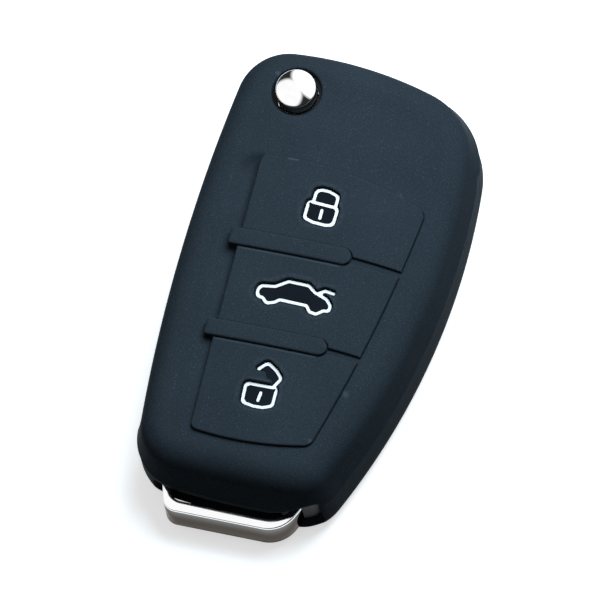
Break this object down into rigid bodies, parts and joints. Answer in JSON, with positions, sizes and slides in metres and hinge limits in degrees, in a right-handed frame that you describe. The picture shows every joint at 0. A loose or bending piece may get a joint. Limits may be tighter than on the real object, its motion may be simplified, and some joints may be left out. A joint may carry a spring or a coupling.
{
  "type": "silicone-covered folding remote key",
  "caption": "Soft moulded cover fitted on a folding remote key: press pads over the switches, sprung release button, blade that swings out of a side slot, and a ring bail.",
  "frame": {"origin": "middle of the overall box, on the cover's flat back", "axes": "+Z from the back to the button side, +Y from the ring bail to the head, +X to the right seen from the button side"},
  "size_m": [0.0428, 0.0762, 0.0192],
  "materials": {
    "silicone": "matte moulded silicone",
    "case_plastic": "fine spark-eroded black",
    "key_rubber": "matte",
    "chrome": "polished plating",
    "carrier_metal": "satin black casting",
    "blade_steel": "milled nickel silver",
    "spring_steel": "drawn wire and strip",
    "switch_metal": "stamped tin plate",
    "plunger_plastic": "moulded",
    "board": "solder mask",
    "chip": "moulded epoxy",
    "cell_steel": "rolled steel can"
  },
  "bodies": {
    "key_in_cover": {"silicone_cover": "silicone", "head_front_case": "case_plastic", "head_rear_case": "case_plastic", "remote_front_case": "case_plastic", "remote_rear_cover": "case_plastic", "lock_switch": "switch_metal", "boot_switch": "switch_metal", "unlock_switch": "switch_metal", "ring_bail": "chrome", "flip_spring": "spring_steel", "circuit_board": "board", "controller_chip": "chip", "crystal_can": "switch_metal", "antenna_coil": "chip", "coin_cell": "cell_steel", "battery_contact_plus": "spring_steel", "battery_contact_minus": "spring_steel", "transponder_chip": "chip", "case_screws": "spring_steel"},
    "blade": {"blade_carrier": "carrier_metal", "key_blade": "blade_steel", "blade_pin": "spring_steel", "release_spring": "spring_steel"},
    "release": {"release_button": "chrome"},
    "lock_button": {"lock_pad": "silicone", "lock_key_cap": "key_rubber", "lock_plunger": "plunger_plastic"},
    "boot_button": {"boot_pad": "silicone", "boot_key_cap": "key_rubber", "boot_plunger": "plunger_plastic"},
    "unlock_button": {"unlock_pad": "silicone", "unlock_key_cap": "key_rubber", "unlock_plunger": "plunger_plastic"}
  },
  "joints": [
    {"name": "blade_flip", "type": "hinge", "parent": "key_in_cover", "child": "blade", "pos_m": [-0.0086, 0.02973, 0.00875], "axis": [0, 0, -1], "range_deg": [0, 180], "deforming": ["flip_spring"]},
    {"name": "release_press", "type": "slide", "parent": "blade", "child": "release", "axis": [0, 0, -1], "range_m": [0, 0.002], "stiffness_N_per_m": 3000, "deforming": ["release_spring"]},
    {"name": "lock_press", "type": "slide", "parent": "key_in_cover", "child": "lock_button", "axis": [0, 0, -1], "range_m": [0, 0.0006], "stiffness_N_per_m": 4000},
    {"name": "boot_press", "type": "slide", "parent": "key_in_cover", "child": "boot_button", "axis": [0, 0, -1], "range_m": [0, 0.0006], "stiffness_N_per_m": 4000},
    {"name": "unlock_press", "type": "slide", "parent": "key_in_cover", "child": "unlock_button", "axis": [0, 0, -1], "range_m": [0, 0.0006], "stiffness_N_per_m": 4000}
  ]
}
